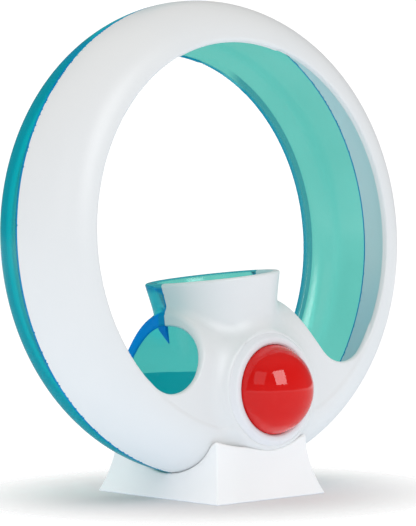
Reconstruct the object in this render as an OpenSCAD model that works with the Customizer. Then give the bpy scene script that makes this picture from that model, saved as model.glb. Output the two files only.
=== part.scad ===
// Hand-held ball-loop toy in its display stand.
// A hollow ring, open on its inside, is moulded as two half shells joined on the seam plane.
// At the bottom of the ring a tunnel bridges the ball track, with a catching cup on its roof
// and a round window in its front wall, where a soft collar holds the ball.
// Toy frame: origin at the ring's centre, ring axis along Y, front towards -Y, cup upwards.
// Part frame: origin on the floor under the stand's middle, +Z up.

/* [Ring] */
// Outside diameter of the ring, measured on the seam
ring_d = 132; // [128:1:136]
// Full width of the ring across its two free edges
ring_w = 35.2; // [34.6:0.1:36]
// Inside diameter of the ring, between its free edges
eye_d = 105.5; // [105:0.5:106.5]
// Wall thickness at the seam
seam_wall = 4; // [3.4:0.1:4.2]
// Wall thickness at the free edges
edge_wall = 2.1; // [1.6:0.1:2.4]

/* [Tunnel] */
// Length of the tunnel at its roof
tunnel_l = 37.6; // [37:0.2:38.4]
// Radius of the blend from each mouth into the ring's free edge
mouth_blend_r = 10; // [9.4:0.1:10.6]
// Drop of the tunnel's arched roof below the ring's centre
roof_drop = 18.45; // [18:0.05:19]

/* [Cup] */
// Outside radius of the cup at its rim
cup_rim_r = 18.8; // [18.4:0.1:19.2]
// Outside radius of the cup at its neck
cup_neck_r = 17.3; // [17:0.1:17.5]
// Drop of the cup's rim below the ring's centre
cup_rim_drop = 10.7; // [10:0.1:11.5]
// Drop of the cup's neck below the ring's centre
cup_neck_drop = 18.5; // [18.2:0.1:19]
// Wall thickness of the cup at its rim
cup_wall = 2.3; // [2:0.1:2.5]
// Wall thickness of the cup at its neck
neck_wall = 3.9; // [3.6:0.1:4]

/* [Ball and collar] */
// Diameter of the ball
ball_d = 25; // [24.6:0.1:25.2]
// Distance of the resting ball's centre in front of the seam plane
ball_front = 18; // [17.6:0.1:18.4]
// Drop of the resting ball's centre below the ring's centre
ball_drop = 42.2; // [41.8:0.1:42.6]
// Outside radius of the soft collar
collar_r = 15; // [14.8:0.05:15.2]
// Radius of the collar's front lip
lip_r = 12.42; // [12.35:0.01:12.6]

/* [Stand] */
// Width of the stand's base
base_w = 40; // [38:0.5:42]
// Depth of the stand's base
base_l = 50.4; // [49:0.2:52]
// Height of the ring's centre above the floor
ring_height = 70.5; // [70.4:0.1:71.5]
// Wall thickness of the stand
stand_wall = 2.2; // [1.8:0.1:2.4]
// How far the ring is turned in its own plane, as it sits in the stand
toy_turn = 5.1; // [0:0.1:8]
// How far the ring leans back in the stand
toy_lean = 2.34; // [0:0.02:3]

/* [Hidden] */
ring_r = ring_d / 2;
half_w = ring_w / 2;
eye_r = eye_d / 2;
ball_r = ball_d / 2;
tunnel_x = tunnel_l / 2;
big = 200;
slack = 1;

// The ring's section is half an ellipse standing on a short flat at each side.
edge_flat = 0.85;
profile_r = eye_r + edge_flat;
profile_steps = 20;
track_r = ring_r - seam_wall;
track_half_w = half_w - edge_wall;

// The tunnel's roof is round outside. Inside, the white half is a squarer arch as wide as the
// track. The clear half keeps the roof's thickness down its side and thins out to the track's
// wall over the skirt's height.
roof_r = half_w + 0.05;
roof_z = -roof_drop - roof_r;
roof_wall = 3.8;
roof_skirt = 2.7;
front_arch_w = track_half_w + 0.05;
front_arch_power = 2.3;
back_arch_w = half_w - roof_wall;
back_arch_power = 2;
roof_reach = 30;
roof_clear = 40;

// Each mouth is upright at the roof, spreads along a flank circle lower down, and a blend
// circle joins it to the free edge. The blend touches the other two circles from inside.
flank_r = 28;
flank_x = tunnel_x + flank_r;
flank_z = -19.2;
flank_gap = norm([flank_x, flank_z]);
blend_to_middle = eye_r - mouth_blend_r;
blend_to_flank = flank_r - mouth_blend_r;
blend_a = atan2(-flank_z, flank_x) + acos(
    (pow(blend_to_middle, 2) + pow(flank_gap, 2) - pow(blend_to_flank, 2))
    / (2 * blend_to_middle * flank_gap));
blend_x = blend_to_middle * cos(blend_a);
blend_z = -blend_to_middle * sin(blend_a);
flank_a = 180 + atan2(flank_z - blend_z, flank_x - blend_x);
arc_step = 4;

// A pointed tooth hangs from the tunnel's roof at each mouth, on the clear half only.
tooth_w = 3.2;
tooth_tip_w = 0.15;
tooth_l = 0.9;
tooth_tip_x = [tunnel_x - 0.9, tunnel_x - 0.7];
tooth_tip_z = -roof_drop - 8.65;
tooth_root_z = -roof_drop - 2;
tooth_bend_z = -roof_drop - 4.7;

// A tongue on the clear half locates in a groove of the white half. Its root reaches back
// into the wall.
tongue_r = ring_r - seam_wall / 2;
tongue_w = 1;
tongue_h = 1.2;
tongue_root = 0.6;
groove_w = 1.3;
groove_h = 1.5;

cup_floor_z = -38;
cup_lip = 0.7;
cup_edge = 0.1;

// The ball is pushed in and down, from its seat to the middle of the track.
track_gap = 0.3;
ball_rest = [0, -ball_front, -ball_drop];
ball_end = [0, 0, -(track_r - ball_r - track_gap)];
push = ball_end - ball_rest;
push_a = atan2(-push[2], push[1]);

// Radii and depths of the window, its raised rim and the collar.
boss_r = [16.6, 15.9];
boss_front = [15.8, 19.3];
seat_front = 16.8;
fit_gap = 0.05;
seat_r = collar_r + fit_gap;
throat_r = 13.2;
throat_way_r = throat_r - 0.3;
throat_back = 8;
ball_gap = 0.15;
collar_back = seat_front + fit_gap;
collar_crest = 21.3;
collar_shoulder = 20.2;
collar_inner_r = ball_r + ball_gap;
collar_edge = [0.4, 0.6];
crest_r = [collar_r - 1.6, collar_r - 1.1];
crest_drop = 0.2;
lip_edge = [0.5, 0.6];
lip_h = 1.5;

// The stand's sides are hollow curves, upright at the top.
side_in = 3.5;
front_in = 4;
side_h = 17;
top_r = 56.5;
saddle_gap = 0.25;
rib_t = 2.4;

// ---- placing ----

// Puts a shape of the toy where the toy sits in the stand.
module in_stand() {
    translate([0, 0, ring_height]) rotate([-toy_lean, 0, 0]) rotate([0, -toy_turn, 0]) children();
}

// Turns a shape made along +Z so that it points to the toy's front.
module facing_front() {
    rotate([90, 0, 0]) children();
}

module front_half() {
    translate([-big / 2, -big, -big / 2]) cube(big);
}

module back_half() {
    translate([-big / 2, 0, -big / 2]) cube(big);
}

// ---- ring ----

// Half an ellipse about the seam, from one free edge to the other.
function rim_arc(reach, width) = [
    for (i = [0 : profile_steps])
        let (a = -90 + 180 * i / profile_steps)
        [profile_r + reach * cos(a), width * sin(a)]
];

// A solid disc whose rim has the ring's half-elliptic section.
module rim_disc(radius, width) {
    facing_front() rotate_extrude($fn = 180)
        polygon(concat([[0, -width]], rim_arc(radius - profile_r, width), [[0, width]]));
}

function arc(cx, cy, r, from, to) = [
    for (a = [from : (to > from ? arc_step : -arc_step) : to]) [cx + r * cos(a), cy + r * sin(a)]
];

// The see-through opening of the ring, seen from the front: the ring's free edge and, at
// each side of the tunnel, a blend and the mouth's flank.
module eye_outline() {
    top = arc(0, 0, eye_r, -blend_a, 180 + blend_a);
    right = concat(arc(flank_x, flank_z, flank_r, 180, flank_a),
                   arc(blend_x, blend_z, mouth_blend_r, flank_a + arc_step / 2, 360 - blend_a));
    roof = [[-tunnel_x, -roof_drop + slack], [tunnel_x, -roof_drop + slack]];
    left = [for (i = [len(right) - 1 : -1 : 0]) [-right[i][0], right[i][1]]];
    polygon(concat(top, left, roof, right));
}

module eye() {
    facing_front() translate([0, 0, -big / 2]) linear_extrude(big) eye_outline();
}

// ---- tunnel ----

// The space over an arched roof, as a block with the arch taken out of it.
module over_arch(skirt = 0) {
    difference() {
        translate([-roof_reach, -big / 2, roof_z - skirt])
            cube([2 * roof_reach, big, roof_clear + skirt]);
        children();
    }
}

module outer_arch() {
    translate([-big / 2, 0, roof_z]) rotate([0, 90, 0]) cylinder(r = roof_r, h = big, $fn = 120);
}

// Half a superellipse, squarer when its power is more than 2.
function arch_points(w, h, power) = [
    for (i = [0 : profile_steps]) let (a = 180 * i / profile_steps)
        [w * sign(cos(a)) * pow(abs(cos(a)), 2 / power), h * pow(sin(a), 2 / power)]
];

module inner_arch(w, power) {
    translate([-big / 2, 0, roof_z]) rotate([90, 0, 90]) linear_extrude(big)
        polygon(concat(arch_points(w, roof_r - roof_wall, power),
                       [[-front_arch_w, -roof_skirt], [-front_arch_w, -roof_skirt - slack],
                        [front_arch_w, -roof_skirt - slack], [front_arch_w, -roof_skirt]]));
}

// ---- cup ----

module cup_outside() {
    rotate_extrude($fn = 120)
        polygon([[0, cup_floor_z], [cup_neck_r, cup_floor_z], [cup_neck_r, -cup_neck_drop],
                 [cup_rim_r, -cup_rim_drop - cup_lip],
                 [cup_rim_r - cup_edge, -cup_rim_drop - cup_lip / 3],
                 [cup_rim_r - cup_lip / 2, -cup_rim_drop], [0, -cup_rim_drop]]);
}

module cup_inside() {
    neck = cup_neck_r - neck_wall;
    rim = cup_rim_r - cup_wall;
    rotate_extrude($fn = 120)
        polygon([[0, cup_floor_z], [neck, cup_floor_z], [neck, -cup_neck_drop],
                 [rim, -cup_rim_drop - cup_lip], [rim + cup_lip, -cup_rim_drop], [rim + cup_lip, 0],
                 [0, 0]]);
}

// ---- window ----

// Places a shape on the window's axis, along the ball's height.
module at_window() {
    translate([0, 0, -ball_drop]) facing_front() children();
}

module window_boss(grow = 0) {
    at_window() rotate_extrude($fn = 120)
        polygon([[0, throat_back], [boss_r[0] + grow, throat_back], [boss_r[0] + grow, boss_front[0]],
                 [boss_r[1] + grow, boss_front[1] + grow], [0, boss_front[1] + grow]]);
}

// The lower side of the way that the ball takes when it is pushed in.
module push_bore(r) {
    translate(ball_rest) rotate([-90 - push_a, 0, 0]) cylinder(r = r, h = norm(push), $fn = 120);
}

module window_cut() {
    at_window() {
        translate([0, 0, seat_front]) cylinder(r = seat_r, h = big, $fn = 120);
        translate([0, 0, throat_back]) cylinder(r = throat_r, h = big, $fn = 120);
    }
    push_bore(throat_way_r);
}

// ---- toy shells ----

module toy_form() {
    difference() {
        rim_disc(ring_r, half_w);
        eye();
        over_arch() outer_arch();
    }
    cup_outside();
}

module toy_cavity(arch_w, arch_power) {
    difference() {
        rim_disc(track_r, track_half_w);
        over_arch(roof_skirt) inner_arch(arch_w, arch_power);
    }
    cup_inside();
}

module seam_band(w, h) {
    facing_front() difference() {
        cylinder(r = tongue_r + w / 2, h = h, $fn = 180);
        translate([0, 0, -slack]) cylinder(r = tongue_r - w / 2, h = h + 2 * slack, $fn = 180);
    }
}

// A tooth is where its outline from the front and its outline from the side meet.
module roof_tooth() {
    intersection() {
        facing_front() translate([0, 0, -tooth_w]) linear_extrude(tooth_w)
            polygon([[tunnel_x, tooth_root_z], [tunnel_x, tooth_bend_z],
                     [tooth_tip_x[1], tooth_tip_z], [tooth_tip_x[0], tooth_tip_z],
                     [tunnel_x - tooth_l, tooth_bend_z], [tunnel_x - tooth_l, tooth_root_z]]);
        rotate([90, 0, 90]) linear_extrude(tunnel_x)
            polygon([[0, tooth_root_z], [tooth_w, tooth_root_z], [tooth_w, tooth_bend_z],
                     [tooth_tip_w, tooth_tip_z], [0, tooth_tip_z]]);
    }
}

module front_shell() {
    color("whitesmoke") in_stand() difference() {
        intersection() {
            union() {
                toy_form();
                window_boss();
            }
            front_half();
        }
        toy_cavity(front_arch_w, front_arch_power);
        window_cut();
        seam_band(groove_w, groove_h);
    }
}

module back_shell() {
    color([0.15, 0.7, 0.72, 0.8]) in_stand() {
        difference() {
            intersection() {
                toy_form();
                back_half();
            }
            toy_cavity(back_arch_w, back_arch_power);
        }
        translate([0, tongue_root, 0]) seam_band(tongue_w, tongue_h + tongue_root);
        roof_tooth();
        mirror([1, 0, 0]) roof_tooth();
    }
}

// ---- loose pieces ----

module ball_collar() {
    color("white") in_stand() difference() {
        at_window() rotate_extrude($fn = 120)
            polygon([[collar_inner_r, collar_back], [collar_r, collar_back],
                     [collar_r, collar_shoulder - collar_edge[1]],
                     [collar_r - collar_edge[0], collar_shoulder],
                     [crest_r[1], collar_crest - crest_drop], [crest_r[0], collar_crest],
                     [lip_r + lip_edge[0], collar_crest - crest_drop / 2],
                     [lip_r, collar_crest - lip_edge[1]],
                     [collar_inner_r, collar_crest - lip_h]]);
        push_bore(collar_inner_r + fit_gap);
    }
}

module ball() {
    color("crimson") in_stand() translate(ball_rest) sphere(r = ball_r, $fn = 96);
}

// ---- stand ----

// Cuts one pair of opposite sides to hollow curves that stand upright at side_h.
module hollow_sides(half, inset, skin) {
    r = (inset * inset + side_h * side_h) / (2 * inset);
    for (side = [-1, 1])
        translate([side * (half - inset + r), big / 2, side_h]) rotate([90, 0, 0])
            cylinder(r = r + skin, h = big, $fn = 180);
}

// The stand's outer form, or with a skin the form that lies that far inside it.
module stand_form(skin = 0) {
    difference() {
        translate([-base_w / 2 + skin, -base_l / 2 + skin, -skin])
            cube([base_w - 2 * skin, base_l - 2 * skin, side_h]);
        hollow_sides(base_w / 2, side_in, skin);
        rotate([0, 0, 90]) hollow_sides(base_l / 2, front_in, skin);
        translate([0, big / 2, ring_height]) rotate([90, 0, 0])
            cylinder(r = top_r + skin, h = big, $fn = 180);
        in_stand() {
            rim_disc(ring_r + saddle_gap + skin, half_w + saddle_gap + skin);
            window_boss(saddle_gap + skin);
            at_window() cylinder(r = collar_r + saddle_gap + skin, h = big, $fn = 120);
        }
    }
}

module stand() {
    color("white") {
        difference() {
            stand_form();
            stand_form(stand_wall);
        }
        intersection() {
            stand_form();
            translate([-rib_t / 2, -base_l / 2, 0]) cube([rib_t, base_l, side_h]);
        }
    }
}

stand();
front_shell();
back_shell();
ball_collar();
ball();
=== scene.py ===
"""Hand-held ball-loop toy in its display stand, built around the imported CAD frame.

The shells, the collar's seat and the stand are moulded forms with soft blends, so each is made
as a distance field in the toy's own frame and turned into a closed mesh. Lengths are in
millimetres until a mesh is placed in the frame, which is in metres.
"""
import math

import bpy
import numpy as np
import openvdb
from mathutils import Matrix, Vector


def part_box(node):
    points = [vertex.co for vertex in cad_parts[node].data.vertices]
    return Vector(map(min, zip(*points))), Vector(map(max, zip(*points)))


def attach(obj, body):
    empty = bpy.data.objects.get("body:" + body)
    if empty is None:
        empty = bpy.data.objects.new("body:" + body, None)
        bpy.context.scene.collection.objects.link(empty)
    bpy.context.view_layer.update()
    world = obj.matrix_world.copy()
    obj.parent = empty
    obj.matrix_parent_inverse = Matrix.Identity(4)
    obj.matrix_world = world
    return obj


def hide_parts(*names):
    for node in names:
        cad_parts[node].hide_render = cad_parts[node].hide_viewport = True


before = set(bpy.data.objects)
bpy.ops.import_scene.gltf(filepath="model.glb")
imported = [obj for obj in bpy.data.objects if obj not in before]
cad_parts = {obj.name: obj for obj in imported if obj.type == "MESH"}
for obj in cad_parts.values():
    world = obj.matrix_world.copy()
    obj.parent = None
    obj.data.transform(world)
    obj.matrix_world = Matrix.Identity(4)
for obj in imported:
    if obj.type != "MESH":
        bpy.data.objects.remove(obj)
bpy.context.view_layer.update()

MM = 0.001

# ---------------------------------------------------------------- dimensions

def extent(node, axis):
    """A node's lowest and highest place along an axis, in millimetres.

    Both are rounded to a hundredth, because the mesh of a round node is faceted.
    """
    return [round(corner[axis] / MM, 2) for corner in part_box(node)]


# The frame gives the ball, and the ring and the stand's base, whose middles are over the origin.
ball_low, ball_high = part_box("ball")
BALL_R = 0.5 * (ball_high.z - ball_low.z) / MM
BALL_CENTRE = 0.5 * (ball_low + ball_high)
RING_R = extent("back_shell", 0)[1]
RING_CENTRE = Vector((0.0, 0.0, 0.5 * MM * sum(extent("back_shell", 2))))
BASE_W = 2 * extent("stand", 0)[1]
BASE_L = 2 * extent("stand", 1)[1]

# The toy is turned about the ring's own axis and leans back in the stand.
TURN = math.radians(5.1)
LEAN = math.radians(2.34)
TOY = (
    Matrix.Translation(RING_CENTRE)
    @ Matrix.Rotation(-LEAN, 4, "X")
    @ Matrix.Rotation(-TURN, 4, "Y")
    @ Matrix.Scale(MM, 4)
)
TO_WORLD = Matrix.Scale(MM, 4)

# Ring: the section is half an ellipse outside and half an ellipse inside.
EYE_R = 52.75
PROFILE_R = 53.6
PROFILE_SOFT = 2.5
HALF_W = 17.6
TRACK_R = 62.0
TRACK_HALF_W = 15.5
FREE_EDGE_ROUND = 0.35
INNER_EDGE_ROUND = 0.5
SEAM_GAP = 0.03

# Tunnel. Its mouths spread along a flank circle that the blend circle touches from inside. An
# arch is the half width and the power of one half's inner section.
TUNNEL_X = 18.8
FLANK_R = 28.0
FLANK_X = TUNNEL_X + FLANK_R
FLANK_Z = -19.2
MOUTH_BLEND = 10.0
ROOF_R = 17.65
ROOF_Z = -36.1
ROOF_WALL = 3.8
ARCH_H = ROOF_R - ROOF_WALL
FRONT_ARCH = (TRACK_HALF_W, 2.3)
BACK_ARCH = (HALF_W - ROOF_WALL, 2.0)
ROOF_ROUND = 1.2
ROOF_REACH = 30.0

# Teeth: the heights are those of the root, the bend and the tip.
TOOTH_W = 3.2
TOOTH_TIP_W = 0.2
TOOTH_L = 0.9
TOOTH_SLANT = 0.7
TOOTH_FRONT = 0.04
TOOTH_Z = (-22.0, -23.15, -27.1)

# Cup: a flare above the neck, and a root below it that draws in a little.
CUP_RIM_Z = -10.7
CUP_RIM_ROUND = 0.8
CUP_NECK_Z = -18.5
CUP_NECK_R = 17.3
CUP_NECK_SOFT = 1.5
CUP_FLARE = 0.211
CUP_BORE_R = 13.4
CUP_BORE_FLARE = 0.43
CUP_ROOT_Z = -22.0
CUP_ROOT_TAPER = 0.12
CUP_ROOT_SOFT = 3.0
CUP_FLOOR_Z = -38.0
CUP_FILLET = 2.2
CUP_REACH = 22.0

# Window, collar and the ball's way in. Depths are distances in front of the seam.
WINDOW_Z = -42.2
WINDOW_ROUND = 0.3
BOSS_R = 15.9
BOSS_FRONT = 19.3
BOSS_BACK = 8.0
BOSS_TAPER = 0.2
BOSS_ROUND = 0.4
BOSS_FILLET = 4.5
COLLAR_R = 15.0
SEAT_R = 15.04
SEAT_FLOOR = 16.8
THROAT_R = 13.2
WAY_R = THROAT_R - 0.3
BALL_FRONT = 18.0
BALL_END = np.array([0.0, 0.0, -49.2])

# Stand
SIDE_IN = 3.5
FRONT_IN = 4.0
SIDE_H = 17.0
TOP_R = 56.5
STAND_WALL = 2.2
SIDE_ROUND = 0.5
FOOT_ROUND = 0.3
SADDLE_GAP = 0.15
SADDLE_ROUND = 2.0
RIB_T = 2.4
RIB_ROUND = 0.2

# Meshing: the grids' steps, and a grid's value where it holds no sample.
SHELL_VOXEL = 0.45
STAND_VOXEL = 0.35
FAR_FIELD = 3.0


# ---------------------------------------------------------------- camera

def add_camera():
    """The photograph's view: a long lens from the front left, level with the toy."""
    azimuth, elevation, roll = (math.radians(a) for a in (41.51, 0.972, -0.588))
    distance, height, side, lens = 0.63276, 0.06364, -0.000114, 156.03
    back = Vector((
        -math.sin(azimuth) * math.cos(elevation),
        -math.cos(azimuth) * math.cos(elevation),
        math.sin(elevation),
    ))
    level = Vector((math.cos(azimuth), -math.sin(azimuth), 0.0))
    upright = back.cross(level)
    right = math.cos(roll) * level + math.sin(roll) * upright
    up = -math.sin(roll) * level + math.cos(roll) * upright
    place = Vector((0, 0, height)) + level * side + back * distance
    camera = bpy.data.objects.new("camera", bpy.data.cameras.new("camera"))
    camera.data.lens = lens
    camera.data.sensor_width = 36.0
    aim = Matrix((right, up, back)).transposed().to_4x4()
    camera.matrix_world = Matrix.Translation(place) @ aim
    bpy.context.scene.collection.objects.link(camera)
    bpy.context.scene.camera = camera
    return camera


# ---------------------------------------------------------------- distance fields

def rounded_max(a, b, r):
    """Where both fields are inside, with the shared edge rounded to radius r."""
    corner = np.hypot(np.maximum(a + r, 0), np.maximum(b + r, 0))
    return np.minimum(np.maximum(a, b), -r) + corner


def rounded_min(a, b, r):
    """Where either field is inside, with the corner between them filled to radius r."""
    return -rounded_max(-a, -b, r)


def softened(x, width):
    """max(x, 0) with a soft corner."""
    return 0.5 * (x + np.sqrt(x * x + width * width))


def ellipse(u, v, reach, width):
    """About the distance to an ellipse with half axes reach along u and width along v."""
    k0 = np.hypot(u / reach, v / width)
    k1 = np.hypot(u / reach**2, v / width**2)
    return k0 * (k0 - 1) / np.maximum(k1, 1e-6)


def disc(radius, y, outer_r, half_w):
    """A disc whose rim has a half-elliptic section."""
    return ellipse(softened(radius - PROFILE_R, PROFILE_SOFT), y, outer_r - PROFILE_R, half_w)


def arch(y, z, width, height, power=2.0):
    """The tunnel's section: upright walls under half an ellipse, squarer with a higher power."""
    u, v = np.maximum(z - ROOF_Z, 0) / height, np.abs(y) / width
    k0 = (u**power + v**power) ** (1 / power)
    slope = np.hypot(u ** (power - 1) / height, v ** (power - 1) / width)
    return (k0 - 1) * np.maximum(k0, 1e-6) ** (power - 1) / np.maximum(slope, 1e-6)


def cup_radius(z, neck, flare):
    """The cup's wall: a flare above the neck, and a root below it that draws in a little."""
    above_neck = softened(z - CUP_NECK_Z, CUP_NECK_SOFT)
    in_root = softened(CUP_ROOT_Z - z, CUP_ROOT_SOFT)
    return neck + flare * above_neck - CUP_ROOT_TAPER * in_root


def boss(x, y, z):
    """The raised rim round the window."""
    radius = np.hypot(x, z - WINDOW_Z)
    side = (radius - BOSS_R - BOSS_TAPER * (y + BOSS_FRONT)) / math.hypot(1, BOSS_TAPER)
    return rounded_max(side, -y - BOSS_FRONT, BOSS_ROUND)


def blend_centre():
    """The mouth's blend circle touches the free edge's circle and the flank's from inside."""
    to_middle, to_flank = EYE_R - MOUTH_BLEND, FLANK_R - MOUTH_BLEND
    gap = math.hypot(FLANK_X, FLANK_Z)
    turn = math.acos((to_middle**2 + gap**2 - to_flank**2) / (2 * to_middle * gap))
    angle = math.atan2(-FLANK_Z, FLANK_X) + turn
    return to_middle * math.cos(angle), -to_middle * math.sin(angle)


BLEND_X, BLEND_Z = blend_centre()


def mouths(x, z):
    """The ring's opening beside the tunnel, where the field is below zero."""
    side = np.abs(x)
    free_edge = np.hypot(x, z) - EYE_R
    flank = np.where(z > FLANK_Z, TUNNEL_X - side, np.hypot(side - FLANK_X, z - FLANK_Z) - FLANK_R)
    u, v = side - BLEND_X, z - BLEND_Z
    past_edge = v * BLEND_X - u * BLEND_Z < 0
    past_flank = v * (BLEND_X - FLANK_X) - u * (BLEND_Z - FLANK_Z) > 0
    blend = np.hypot(u, v) - MOUTH_BLEND
    return np.where(past_edge & past_flank & (v < 0), blend, np.maximum(free_edge, flank))


def past_bore(x, y, z):
    """How far a point of the tunnel is outside the cup's bore, where the clear wall is thick."""
    return np.where((np.abs(x) < ROOF_REACH) & (z < CUP_NECK_Z), np.hypot(x, y) - CUP_BORE_R, 0)


def off_the_cup(x, y, z):
    """Distance from the cup's wall above its neck, which is taken a little thicker than it is."""
    lean, half_wall = 0.3, 2.5
    middle = 0.5 * (CUP_NECK_R + CUP_BORE_R) + lean * np.maximum(z - CUP_NECK_Z, 0)
    across = np.maximum(np.abs(np.hypot(x, y) - middle) - half_wall, 0)
    return np.hypot(across, np.maximum(CUP_NECK_Z - z, 0))


def free_edges(x, y, z):
    """Distance from the ring's free edges and the tunnel's mouths."""
    return np.abs(np.where(z > 0, np.hypot(x, z) - EYE_R, mouths(x, z)))


def cut_edges(x, y, z):
    """Distance to the nearest cut edge: the seam, the free edges, the mouths or the cup's rim."""
    rim = np.where(np.hypot(x, y) < CUP_REACH, np.abs(z - CUP_RIM_Z), CUP_REACH)
    return np.minimum(np.minimum(np.abs(y), free_edges(x, y, z)), rim)


def toy_form(x, y, z, window):
    """The toy's outer form: ring, tunnel, cup and, in front, the window's raised rim."""
    radius = np.hypot(x, z)
    beside = mouths(x, z)
    above = np.maximum(radius - EYE_R, -arch(y, z, ROOF_R, ROOF_R))
    form = rounded_max(disc(radius, y, RING_R, HALF_W), -beside, FREE_EDGE_ROUND)
    form = rounded_max(form, -above, ROOF_ROUND)
    wall = np.hypot(x, y) - cup_radius(z, CUP_NECK_R, CUP_FLARE)
    cup = rounded_max(wall, z - CUP_RIM_Z, CUP_RIM_ROUND)
    cup = np.maximum(cup, CUP_FLOOR_Z - z)
    form = rounded_min(form, cup, CUP_FILLET)
    if window:
        form = rounded_min(form, np.maximum(boss(x, y, z), y + BOSS_BACK), BOSS_FILLET)
    return form


def toy_cavity(x, y, z, inner_arch):
    """The ball's track, the tunnel and the inside of the cup, as one hollow."""
    half_width, power = inner_arch
    track = disc(np.hypot(x, z), y, TRACK_R, TRACK_HALF_W)
    tunnel = np.maximum(track, arch(y, z, half_width, ARCH_H, power))
    hollow = np.where((np.abs(x) < ROOF_REACH) & (z < 0), tunnel, track)
    cup = np.hypot(x, y) - cup_radius(np.maximum(z, CUP_NECK_Z), CUP_BORE_R, CUP_BORE_FLARE)
    cup = np.maximum(cup, np.maximum(CUP_FLOOR_Z - z, z))
    return rounded_min(hollow, cup, INNER_EDGE_ROUND)


def window_cut(x, y, z):
    """The collar's seat, the throat behind it and the way of the ball."""
    radius = np.hypot(x, z - WINDOW_Z)
    seat = np.maximum(radius - SEAT_R, y + SEAT_FLOOR)
    throat = np.maximum(radius - THROAT_R, y + BOSS_BACK)
    start = np.array([0.0, -BALL_FRONT, WINDOW_Z])
    way = BALL_END - start
    way /= np.linalg.norm(way)
    along = (y - start[1]) * way[1] + (z - start[2]) * way[2]
    across = (y - start[1]) * way[2] - (z - start[2]) * way[1]
    bore = np.maximum(np.hypot(x, across) - WAY_R, -along)
    return np.minimum(np.minimum(seat, throat), bore)


def front_whole(x, y, z):
    form, hollow = toy_form(x, y, z, True), toy_cavity(x, y, z, FRONT_ARCH)
    solid = rounded_max(form, -hollow, INNER_EDGE_ROUND)
    return rounded_max(solid, -window_cut(x, y, z), WINDOW_ROUND)


def back_whole(x, y, z):
    form, hollow = toy_form(x, y, z, False), toy_cavity(x, y, z, BACK_ARCH)
    return rounded_max(form, -hollow, INNER_EDGE_ROUND)


def front_field(x, y, z):
    return np.maximum(front_whole(x, y, z), y + SEAM_GAP)


def back_field(x, y, z):
    return np.maximum(back_whole(x, y, z), SEAM_GAP - y)


def toy_coordinates(x, y, z):
    """Stand coordinates to toy coordinates, both in millimetres."""
    rows = np.array(TOY.inverted())[:3]
    at = [MM * v for v in (x, y, z)]
    return [row[0] * at[0] + row[1] * at[1] + row[2] * at[2] + row[3] for row in rows]


def hollow_side(along, z, half, inset, skin):
    """A side that is upright at SIDE_H and sweeps out to the base."""
    r = (inset**2 + SIDE_H**2) / (2 * inset)
    return r + skin - np.hypot(half - inset + r - np.abs(along), z - SIDE_H)


def stand_form(x, y, z, skin):
    """The stand's outer form, or the form a skin's thickness inside it."""
    sides = rounded_max(
        hollow_side(x, z, BASE_W / 2, SIDE_IN, skin),
        hollow_side(y, z, BASE_L / 2, FRONT_IN, skin),
        SIDE_ROUND,
    )
    tx, ty, tz = toy_coordinates(x, y, z)
    radius = np.hypot(tx, tz)
    gap = SADDLE_GAP + skin
    saddle = gap - disc(radius, ty, RING_R, HALF_W)
    saddle = np.maximum(saddle, gap - np.maximum(boss(tx, ty, tz), ty + BOSS_BACK))
    collar = np.maximum(np.hypot(tx, tz - WINDOW_Z) - COLLAR_R, ty)
    saddle = np.maximum(saddle, gap - collar)
    top = TOP_R + skin - np.hypot(x, z - RING_CENTRE.z / MM)
    top = rounded_max(top, saddle, SADDLE_ROUND)
    solid = rounded_max(sides, top, SIDE_ROUND)
    return rounded_max(solid, -z, FOOT_ROUND) if skin == 0 else solid


def stand_field(x, y, z):
    outside = stand_form(x, y, z, 0.0)
    inside = stand_form(x, y, z, STAND_WALL)
    rib = np.abs(x) - RIB_T / 2
    return rounded_max(outside, -rounded_max(inside, -rib, RIB_ROUND), FOOT_ROUND)


# ---------------------------------------------------------------- meshes

def axis_points(low, high, step):
    return np.arange(low - 2 * step, high + 3 * step, step, dtype=np.float32)


def on_surface(field, points, step):
    """Moves points that lie a little off the field's zero onto it, by no more than a part of a
    step, so that a point beside a sharp edge stays there."""
    eps, least_slope, rounds = 0.02, 0.3, 2
    limit = 0.3 * step
    for _ in range(rounds):
        value = field(*points.T)
        slope = np.stack([
            (field(*(points + eps * axis).T) - field(*(points - eps * axis).T)) / (2 * eps)
            for axis in np.eye(3)
        ], axis=1)
        size = np.maximum((slope**2).sum(1), least_slope)
        move = -(value / size)[:, None] * slope
        length = np.maximum(np.linalg.norm(move, axis=1, keepdims=True), 1e-9)
        points = points + move * np.minimum(1, limit / length)
    return points


def seam_trimmed(whole, seam):
    """A trim that brings the grid's layer beside the seam's plane onto it, and the points near
    the corner onto the form without its seam, so that the seam's edge is one even line."""
    layer, near = 0.93, 0.4

    def trim(points, step):
        beside = np.abs(points[:, 1] - seam) < layer * step
        corner = beside & (np.abs(whole(*points.T)) < near * step)
        points[corner] = on_surface(whole, points[corner], step)
        points[beside, 1] = seam
        return points
    return trim


def crease(mesh, on_plane):
    """Keeps the shading crisp along the sharp edges whose two ends are both on the seam."""
    mesh.set_sharp_from_angle(angle=math.radians(40))
    sharp = np.empty(len(mesh.edges), bool)
    mesh.edges.foreach_get("use_edge_sharp", sharp)
    ends = np.empty(2 * len(mesh.edges), np.int32)
    mesh.edges.foreach_get("vertices", ends)
    mesh.edges.foreach_set("use_edge_sharp", sharp & on_plane[ends.reshape(-1, 2)].all(axis=1))


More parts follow.
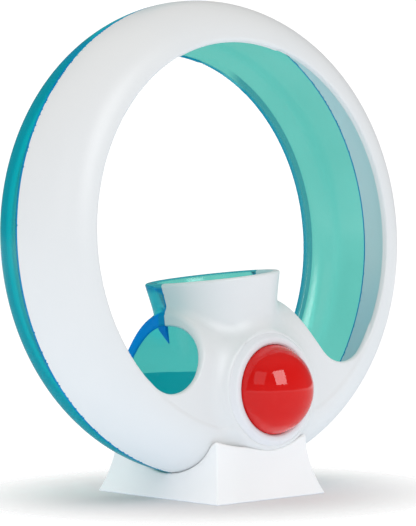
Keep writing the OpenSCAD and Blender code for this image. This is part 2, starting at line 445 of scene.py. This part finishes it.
def mesh_of_field(name, field, low, high, step, placing, marks=None, trim=None):
    """Turns the inside of a distance field into a closed, smooth-shaded mesh object.

    A trim has the last word on where its points are.
    """
    xs, ys, zs = (axis_points(a, b, step) for a, b in zip(low, high))
    values = field(*np.meshgrid(xs, ys, zs, indexing="ij")).astype(np.float32)
    grid = openvdb.FloatGrid(FAR_FIELD)
    grid.copyFromArray(values)
    points, _, quads = grid.convertToPolygons(isovalue=0.0, adaptivity=0.0)
    points = np.array([xs[0], ys[0], zs[0]]) + points * step
    points = on_surface(field, points.astype(np.float64), step)
    if trim:
        points = trim(points, step)
    piece = mesh_object(name, points, quads.tolist(), placing, marks)
    if trim:
        crease(piece.data, np.abs(points[:, 1]) < 1.5 * SEAM_GAP)
    return piece


def mesh_object(name, points, faces, placing, marks=None):
    """A smooth-shaded mesh object whose points are placed in the frame and face outwards.

    Each mark is a function of a point's own coordinates, kept as an attribute for the material.
    """
    matrix = np.array(placing)
    world = points @ matrix[:3, :3].T + matrix[:3, 3]
    mesh = bpy.data.meshes.new(name)
    mesh.from_pydata(world.tolist(), [], faces)
    for mark, function in (marks or {}).items():
        values = np.asarray(function(*points.T), np.float32)
        mesh.attributes.new(mark, "FLOAT", "POINT").data.foreach_set("value", values)
    mesh.polygons.foreach_set("use_smooth", [True] * len(mesh.polygons))
    piece = bpy.data.objects.new(name, mesh)
    bpy.context.scene.collection.objects.link(piece)
    if signed_volume(mesh) < 0:
        mesh.flip_normals()
    mesh.update()
    return piece


def signed_volume(mesh):
    """Positive when the faces look outwards."""
    mesh.calc_loop_triangles()
    corners = np.empty(len(mesh.loop_triangles) * 3, np.int32)
    mesh.loop_triangles.foreach_get("vertices", corners)
    co = np.empty(len(mesh.vertices) * 3)
    mesh.vertices.foreach_get("co", co)
    a, b, c = co.reshape(-1, 3)[corners.reshape(-1, 3)].transpose(1, 0, 2)
    return float(np.einsum("ij,ij->i", a, np.cross(b, c)).sum() / 6)


def band(first, second, count):
    """The quads between two closed loops of count points that start at these indices."""
    for j in range(count):
        after = (j + 1) % count
        yield first + j, second + j, second + after, first + after


def lathe(name, profile, steps, placing):
    """A closed ring made by turning a closed profile of (radius, height) about the Z axis."""
    turns = np.linspace(0, 2 * math.pi, steps, endpoint=False)
    points = np.array([
        (r * math.cos(t), r * math.sin(t), h) for t in turns for r, h in profile
    ])
    count = len(profile)
    faces = [
        face for i in range(steps) for face in band(i * count, ((i + 1) % steps) * count, count)
    ]
    return mesh_object(name, points, faces, placing)


def curve_through(corners, arc_steps):
    """A closed outline whose listed corners (u, v, rounding) are rounded off."""
    outline = []
    count = len(corners)
    for i, (u, v, r) in enumerate(corners):
        here = np.array([u, v])
        before = np.array(corners[i - 1][:2]) - here
        after = np.array(corners[(i + 1) % count][:2]) - here
        a = before / np.linalg.norm(before)
        b = after / np.linalg.norm(after)
        half = 0.5 * math.acos(np.clip(a @ b, -1, 1))
        longest = 0.49 * min(np.linalg.norm(before), np.linalg.norm(after))
        reach = min(r / math.tan(half), longest)
        start, end = here + a * reach, here + b * reach
        for k in range(arc_steps + 1):
            t = k / arc_steps
            outline.append((1 - t)**2 * start + 2 * t * (1 - t) * here + t * t * end)
    return outline


# ---------------------------------------------------------------- pieces

# Marks are kept on the meshes for the materials. Each is in millimetres.
TOY_MARKS = {
    "along": lambda x, y, z: x,
    "behind": lambda x, y, z: y,
    "above": lambda x, y, z: z,
    "edge": cut_edges,
    "free": free_edges,
    "thick": past_bore,
    "cup": off_the_cup,
    "hollow": lambda x, y, z: toy_cavity(x, y, z, FRONT_ARCH),
}

# The whole tooth takes the look of a cut edge well behind the seam, with its painted blue glow.
TOOTH_MARKS = {
    "edge": lambda x, y, z: 0 * x,
    "behind": lambda x, y, z: 0 * x + 5.0,
    "above": lambda x, y, z: z,
    "cup": off_the_cup,
    "free": lambda x, y, z: 0 * x,
}


def make_front_shell():
    low, high = (-RING_R, -BOSS_FRONT - 0.5, -RING_R), (RING_R, 0.0, RING_R)
    return mesh_of_field(
        "front_shell_moulding", front_field, low, high, SHELL_VOXEL, TOY, TOY_MARKS,
        seam_trimmed(front_whole, -SEAM_GAP))


def make_back_shell():
    low, high = (-RING_R, 0.0, -RING_R), (RING_R, HALF_W, RING_R)
    return mesh_of_field(
        "back_shell_moulding", back_field, low, high, SHELL_VOXEL, TOY, TOY_MARKS,
        seam_trimmed(back_whole, SEAM_GAP))


def make_tooth(name, side):
    """The pointed tooth that hangs from the clear half's roof at one mouth."""
    root, bend, tip = TOOTH_Z
    sharp, levels, arc_steps = 0.05, 17, 4
    loops = []
    for height in np.linspace(root, tip, levels):
        t = max(0.0, (bend - height) / (bend - tip))
        outer, inner = TUNNEL_X - TOOTH_SLANT * t, TUNNEL_X - TOOTH_L
        back = TOOTH_W * (1 - t) + TOOTH_TIP_W * t
        soft = 0.25 * (1 - t) + sharp
        section = curve_through([
            (outer, TOOTH_FRONT, sharp), (outer, back, soft),
            (inner, back, soft), (inner, TOOTH_FRONT, sharp),
        ], arc_steps)
        loops.append([(side * u, v, height) for u, v in section])
    count = len(loops[0])
    last = (levels - 1) * count
    faces = [face for k in range(levels - 1) for face in band(k * count, (k + 1) * count, count)]
    faces += [tuple(range(count)), tuple(reversed(range(last, last + count)))]
    points = np.array([point for loop in loops for point in loop])
    return mesh_object(name, points, faces, TOY, TOOTH_MARKS)


def window_placing():
    """The window's axis: heights grow towards the front."""
    return TOY @ Matrix.Translation((0, 0, WINDOW_Z)) @ Matrix.Rotation(math.pi / 2, 4, "X")


def make_collar():
    """The collar: its seat, a thin flange over the gap round it, its face and its lip."""
    corners = [
        (12.65, 16.9, 0.1), (COLLAR_R, 16.9, 0.1), (COLLAR_R, 19.25, 0.05),
        (15.5, 19.25, 0.02), (15.35, 19.5, 0.2),
        (14.1, 21.2, 1.4), (12.8, 21.2, 0.6), (12.26, 20.7, 0.3), (12.62, 19.3, 0.3),
    ]
    return lathe("collar_ring", curve_through(corners, 6), 128, window_placing())


def make_ball():
    """A ball from a cube's six grids, so that its quads are even."""
    n = 40
    steps = np.tan(np.linspace(-math.pi / 4, math.pi / 4, n + 1))
    index, points, faces = {}, [], []
    for axis in range(3):
        for sign in (-1, 1):
            def corner(i, j):
                p = [0.0, 0.0, 0.0]
                p[axis], p[(axis + 1) % 3], p[(axis + 2) % 3] = sign, steps[i], steps[j]
                key = tuple(round(c, 6) for c in p)
                if key not in index:
                    index[key] = len(points)
                    points.append(np.array(p) / np.linalg.norm(p))
                return index[key]
            for i in range(n):
                for j in range(n):
                    loop = [corner(i, j), corner(i + 1, j), corner(i + 1, j + 1), corner(i, j + 1)]
                    faces.append(loop if sign > 0 else loop[::-1])
    points = np.array(points) * BALL_R
    placing = Matrix.Translation(BALL_CENTRE) @ Matrix.Scale(MM, 4)
    return mesh_object("ball_sphere", points, faces, placing)


def make_stand():
    low = (-BASE_W / 2, -BASE_L / 2, 0.0)
    high = (BASE_W / 2, BASE_L / 2, SIDE_H + 1)
    return mesh_of_field("stand_moulding", stand_field, low, high, STAND_VOXEL, TO_WORLD)


# ---------------------------------------------------------------- materials

class Finish:
    """A material on one Principled shader, with short calls for its nodes."""

    def __init__(self, name, **numbers):
        self.material = bpy.data.materials.new(name)
        self.material.use_nodes = True
        self.tree = self.material.node_tree
        self.shader = self.tree.nodes["Principled BSDF"]
        for socket, value in numbers.items():
            self.shader.inputs[socket.replace("_", " ")].default_value = value

    def node(self, kind, inputs=(), **settings):
        node = self.tree.nodes.new(kind)
        for setting, value in settings.items():
            setattr(node, setting, value)
        for socket, value in dict(inputs).items():
            if isinstance(value, bpy.types.NodeSocket):
                self.tree.links.new(value, node.inputs[socket])
            else:
                node.inputs[socket].default_value = value
        return node

    def mark(self, name):
        return self.node("ShaderNodeAttribute", attribute_name=name).outputs["Fac"]

    def math(self, operation, *values):
        return self.node("ShaderNodeMath", dict(enumerate(values)), operation=operation).outputs[0]

    def both(self, a, b):
        """The share of a surface where both shares hold."""
        return self.math("MULTIPLY", a, b)

    def ramp(self, value, low, high, start=0.0, end=1.0):
        """Goes softly from start to end while value goes from low to high."""
        inputs = {
            "Value": value, "From Min": low, "From Max": high, "To Min": start, "To Max": end,
        }
        return self.node("ShaderNodeMapRange", inputs, interpolation_type="SMOOTHSTEP").outputs[0]

    def mix(self, factor, a, b):
        inputs = {0: factor, 6: a, 7: b}
        return self.node("ShaderNodeMix", inputs, data_type="RGBA").outputs[2]

    def noise(self, scale, detail=2.0):
        place = self.node("ShaderNodeTexCoord").outputs["Object"]
        inputs = {"Vector": place, "Scale": scale, "Detail": detail}
        return self.node("ShaderNodeTexNoise", inputs).outputs["Fac"]

    def bump(self, height, strength, distance):
        inputs = {"Height": height, "Strength": strength, "Distance": distance}
        self.link("Normal", self.node("ShaderNodeBump", inputs).outputs[0])

    def link(self, socket, value):
        self.tree.links.new(value, self.shader.inputs[socket])


def rgb(r, g, b):
    return (r, g, b, 1.0)


def white_plastic():
    """Satin white moulding. Beside the cup's and the tunnel's seam it has a painted teal glow for
    the clear half's light shining through, and the inner wall has painted shade of the track."""
    finish = Finish("white_satin_plastic", Specular_IOR_Level=0.4)
    above, behind, hollow = (finish.mark(name) for name in ("above", "behind", "hollow"))
    beside = finish.math("ABSOLUTE", finish.mark("along"))
    cloud = finish.ramp(finish.noise(28.0), 0.3, 0.7)
    body = finish.mix(cloud, rgb(0.775, 0.785, 0.785), rgb(0.80, 0.805, 0.80))

    hub = finish.both(finish.ramp(beside, 24.0, 15.0), finish.ramp(above, -40.0, -24.0))
    # Painted teal glow: the white turns teal beside the seam in the hub, in place of light coming
    # through the clear half.
    painted_teal_glow = finish.both(finish.ramp(behind, -9.0, -0.5), hub)
    painted_teal_glow = finish.both(painted_teal_glow, finish.ramp(above, -16.0, -20.0, 0.4, 0.75))
    body = finish.mix(painted_teal_glow, body, rgb(0.46, 0.66, 0.68))

    # Painted shade on the track's inner wall: teal-tinted, and bluer lower down.
    in_track = finish.both(
        finish.ramp(hollow, 0.7, 0.15), finish.ramp(behind, -17.5, -8.0, 0.0, 0.8))
    depth = finish.ramp(above, -10.0, -30.0)
    painted_track_shade = finish.mix(depth, rgb(0.48, 0.73, 0.745), rgb(0.36, 0.67, 0.74))
    finish.link("Base Color", finish.mix(in_track, body, painted_track_shade))

    grain = finish.noise(1600.0, 1.0)
    finish.link("Roughness", finish.ramp(grain, 0.2, 0.8, 0.34, 0.42))
    finish.bump(grain, 0.04, 0.0002)
    return finish.material


def teal_wall(finish, outside, slanting):
    """The clear wall's colour: sea green seen through it, and bluer where it is seen along."""
    behind, above, in_cup = finish.mark("behind"), finish.mark("above"), cup_share(finish)
    beside = finish.math("ABSOLUTE", finish.mark("along"))
    cloud = finish.ramp(finish.noise(35.0), 0.3, 0.7)
    wall = finish.mix(cloud, rgb(0.125, 0.56, 0.49), rgb(0.14, 0.59, 0.52))
    thick = finish.ramp(finish.mark("thick"), 0.03, 0.2)
    wall = finish.mix(thick, wall, rgb(0.07, 0.49, 0.46))

    hub_skin = finish.mix(in_cup, rgb(0.03, 0.48, 0.52), rgb(0.03, 0.50, 0.58))
    skin = finish.mix(hub_share(finish), rgb(0.0, 0.35, 0.43), hub_skin)
    wall = finish.mix(slanting, wall, skin)

    inner_ring = finish.both(
        finish.ramp(finish.mark("hollow"), 0.4, 0.15), finish.ramp(beside, 27.0, 33.0))
    edge_band = finish.both(inner_ring, finish.ramp(finish.mark("free"), 2.2, 1.9))
    wall = finish.mix(edge_band, wall, rgb(0.013, 0.19, 0.24))

    cup_skin = finish.both(in_cup, slanting)
    wall = finish.mix(
        finish.both(cup_skin, finish.ramp(behind, 2.6, 1.2)), wall, rgb(0.0, 0.28, 0.48))
    wall = finish.mix(
        finish.both(cup_skin, finish.ramp(above, -13.6, -12.2)), wall, rgb(0.0, 0.32, 0.50))
    return finish.mix(
        finish.both(outside, finish.ramp(behind, 1.0, 0.7)), wall, rgb(0.0, 0.23, 0.55))


def cut_edge_glow(finish):
    """The colour of a cut edge, a painted blue glow of light piped along the clear wall: blue,
    greener near the seam, on the ring and on the cup's rim.
    """
    behind = finish.mark("behind")
    cut = finish.mix(finish.ramp(behind, 2.9, 2.3), rgb(0.0, 0.24, 0.72), rgb(0.0, 0.25, 0.52))
    cut = finish.mix(finish.ramp(behind, 14.6, 15.3), cut, rgb(0.0, 0.27, 0.42))
    rim = finish.both(cup_share(finish), finish.ramp(finish.mark("above"), -12.2, -11.2))
    return finish.mix(rim, cut, rgb(0.06, 0.44, 0.50))


def cup_share(finish):
    return finish.ramp(finish.mark("cup"), 2.0, 0.5)


def hub_share(finish):
    """The tunnel's and the cup's share, between the two mouths."""
    return finish.ramp(finish.math("ABSOLUTE", finish.mark("along")), 24.0, 20.0)


def clear_teal():
    """Clear teal plastic, frosted at its cut edges with a painted blue glow, and hazy where its
    outside is seen along.

    The body bends light very little, so that what is behind the thin wall stays in its place,
    and the coat gives the gloss.
    """
    finish = Finish("clear_teal_plastic", IOR=1.02, Coat_IOR=1.5, Coat_Roughness=0.2)
    facing = finish.node("ShaderNodeLayerWeight", {"Blend": 0.5}).outputs["Facing"]
    outside = finish.ramp(finish.mark("hollow"), 0.4, 1.0)
    slanting = finish.both(outside, finish.ramp(facing, 0.3, 0.5))
    clear = finish.ramp(finish.mark("edge"), 0.25, 0.6)
    wall = teal_wall(finish, outside, slanting)
    # The cut edges take a painted blue glow of light piped along the wall.
    finish.link("Base Color", finish.mix(clear, cut_edge_glow(finish), wall))

    off_cup = finish.math("SUBTRACT", 1.0, cup_share(finish))
    on_roof = finish.both(hub_share(finish), off_cup)
    haze = finish.both(slanting, finish.math("SUBTRACT", 1.0, on_roof))
    see_through = finish.both(clear, finish.ramp(haze, 0.0, 1.0, 1.0, 0.45))
    finish.link("Transmission Weight", finish.ramp(see_through, 0.0, 1.0, 0.1, 1.0))
    gloss = finish.both(clear, finish.ramp(facing, 0.3, 0.6, 1.0, 0.1))
    finish.link("Coat Weight", finish.ramp(gloss, 0.0, 1.0, 0.1, 1.0))
    finish.link("Roughness", finish.ramp(finish.noise(900.0, 1.0), 0.2, 0.8, 0.02, 0.05))
    return finish.material


def soft_white():
    """Matt white soft plastic of the collar."""
    finish = Finish("soft_white_rubber", Specular_IOR_Level=0.35)
    cloud = finish.ramp(finish.noise(60.0), 0.3, 0.7)
    finish.link("Base Color", finish.mix(cloud, rgb(0.78, 0.78, 0.80), rgb(0.81, 0.81, 0.82)))
    grain = finish.noise(2200.0, 1.0)
    finish.link("Roughness", finish.ramp(grain, 0.2, 0.8, 0.48, 0.58))
    finish.bump(grain, 0.05, 0.0002)
    return finish.material


def glossy_red():
    """Polished red ball with a slightly uneven skin."""
    finish = Finish("polished_red_plastic", Specular_IOR_Level=0.5)
    cloud = finish.ramp(finish.noise(90.0), 0.3, 0.7)
    finish.link("Base Color", finish.mix(cloud, rgb(0.66, 0.004, 0.003), rgb(0.71, 0.008, 0.006)))
    skin = finish.noise(260.0, 1.0)
    finish.link("Roughness", finish.ramp(skin, 0.2, 0.8, 0.05, 0.09))
    finish.bump(skin, 0.05, 0.0004)
    return finish.material


def stand_plastic():
    """White moulded plastic with a fine spark-eroded grain."""
    finish = Finish("stand_white_plastic", Specular_IOR_Level=0.35)
    cloud = finish.ramp(finish.noise(40.0), 0.3, 0.7)
    finish.link("Base Color", finish.mix(cloud, rgb(0.91, 0.91, 0.90), rgb(0.94, 0.94, 0.93)))
    grain = finish.noise(2600.0, 1.0)
    finish.link("Roughness", finish.ramp(grain, 0.2, 0.8, 0.48, 0.6))
    finish.bump(grain, 0.08, 0.0002)
    return finish.material


# ---------------------------------------------------------------- stage

def add_floor():
    """A round table of white paper. It fades into the white surroundings, and shows through
    the clear plastic as a darker table whose far edge is level with the eye."""
    radius, steps = 0.52, 256
    turns = [2 * math.pi * i / steps for i in range(steps)]
    mesh = bpy.data.meshes.new("floor")
    rim = [(radius * math.cos(t), radius * math.sin(t), 0) for t in turns]
    mesh.from_pydata(rim, [], [tuple(range(steps))])
    floor = bpy.data.objects.new("floor", mesh)
    bpy.context.scene.collection.objects.link(floor)
    paper = Finish("floor_paper", Roughness=0.9, Specular_IOR_Level=0.0)
    path = paper.node("ShaderNodeLightPath")
    through_plastic = path.outputs["Is Transmission Ray"]
    seen = path.outputs["Is Camera Ray"]
    white = paper.mix(seen, rgb(0.92, 0.92, 0.92), rgb(0.74, 0.73, 0.73))
    white = paper.mix(path.outputs["Is Glossy Ray"], white, rgb(0.66, 0.66, 0.66))
    paper.link("Base Color", paper.mix(through_plastic, white, rgb(0.0, 0.58, 0.70)))
    fill_light = paper.mix(path.outputs["Is Diffuse Ray"], rgb(0, 0, 0), rgb(0.20, 0.27, 0.36))
    paper.link("Emission Color", fill_light)
    paper.shader.inputs["Emission Strength"].default_value = 1.0
    place = paper.node("ShaderNodeTexCoord").outputs["Object"]
    distance = paper.node("ShaderNodeVectorMath", {0: place}, operation="LENGTH").outputs["Value"]
    fade = paper.math("MULTIPLY", seen, paper.ramp(distance, 0.025, 0.09))
    paper.link("Alpha", paper.math("SUBTRACT", 1.0, fade))
    mesh.materials.append(paper.material)


def add_softbox(name, azimuth, elevation, size, radiance):
    """A soft light 1.2 m from the ball, seen only in gloss. The surroundings light what is matt.

    The azimuth turns from the front towards the right.
    """
    distance = 1.2
    a, e = math.radians(azimuth), math.radians(elevation)
    towards = Vector((math.sin(a) * math.cos(e), -math.cos(a) * math.cos(e), math.sin(e)))
    data = bpy.data.lights.new(name, "AREA")
    data.shape = "RECTANGLE"
    data.size, data.size_y = size
    data.energy = radiance * math.pi * size[0] * size[1]
    light = bpy.data.objects.new(name, data)
    light.visible_diffuse = False
    turn = towards.to_track_quat("Z", "Y").to_matrix().to_4x4()
    light.matrix_world = Matrix.Translation(BALL_CENTRE + towards * distance) @ turn
    bpy.context.scene.collection.objects.link(light)


def add_world():
    """White surroundings. Gloss sees a dim studio above a bright table."""
    world = bpy.data.worlds.new("studio")
    bpy.context.scene.world = world
    world.use_nodes = True
    tree = world.node_tree
    background = tree.nodes["Background"]
    direction = tree.nodes.new("ShaderNodeTexCoord").outputs["Generated"]
    split = tree.nodes.new("ShaderNodeSeparateXYZ")
    tree.links.new(direction, split.inputs[0])
    path = tree.nodes.new("ShaderNodeLightPath")

    def by_height(stops):
        """A colour that follows the height a ray comes from, from -1 below to 1 above."""
        rise = tree.nodes.new("ShaderNodeMapRange")
        rise.inputs["From Min"].default_value = -1.0
        tree.links.new(split.outputs["Z"], rise.inputs["Value"])
        colours = tree.nodes.new("ShaderNodeValToRGB")
        tree.links.new(rise.outputs[0], colours.inputs[0])
        elements = colours.color_ramp.elements
        while len(elements) < len(stops):
            elements.new(0.5)
        for element, (height, colour) in zip(elements, stops):
            element.position = 0.5 + 0.5 * height
            element.color = rgb(*colour)
        return colours.outputs["Color"]

    def choose(factor, a, b):
        mix = tree.nodes.new("ShaderNodeMix")
        mix.data_type = "RGBA"
        for socket, value in ((0, factor), (6, a), (7, b)):
            if isinstance(value, bpy.types.NodeSocket):
                tree.links.new(value, mix.inputs[socket])
            else:
                mix.inputs[socket].default_value = value
        return mix.outputs[2]

    matt = by_height([
        (-0.9, (0.80, 0.83, 0.90)), (0.1, (0.84, 0.85, 0.87)), (0.8, (0.90, 0.90, 0.89)),
    ])
    gloss = by_height([
        (-0.02, (0.9, 0.9, 0.9)), (0.01, (0.2, 0.2, 0.2)), (0.55, (0.1, 0.1, 0.1)),
        (0.95, (0.2, 0.2, 0.2)),
    ])
    colour = choose(path.outputs["Is Glossy Ray"], matt, gloss)
    colour = choose(path.outputs["Is Transmission Ray"], colour, rgb(0.89, 0.89, 0.89))
    colour = choose(path.outputs["Is Camera Ray"], colour, rgb(1, 1, 1))
    tree.links.new(colour, background.inputs["Color"])
    background.inputs["Strength"].default_value = 1.12


def finish_piece(piece, body, node, material):
    piece.data.materials.append(material)
    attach(piece, body)
    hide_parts(node)


add_camera()
teal = clear_teal()
finish_piece(make_front_shell(), "toy", "front_shell", white_plastic())
finish_piece(make_back_shell(), "toy", "back_shell", teal)
for name, side in (("roof_tooth_left", -1), ("roof_tooth_right", 1)):
    finish_piece(make_tooth(name, side), "toy", "back_shell", teal)
finish_piece(make_collar(), "toy", "ball_collar", soft_white())
finish_piece(make_ball(), "ball", "ball", glossy_red())
finish_piece(make_stand(), "stand", "stand", stand_plastic())
add_floor()
add_world()
add_softbox("window_light", -7, 32, (0.6, 0.75), 5.0)
add_softbox("side_light", -66, 32, (0.6, 0.7), 0.7)
bpy.context.scene.view_settings.view_transform = "Standard"
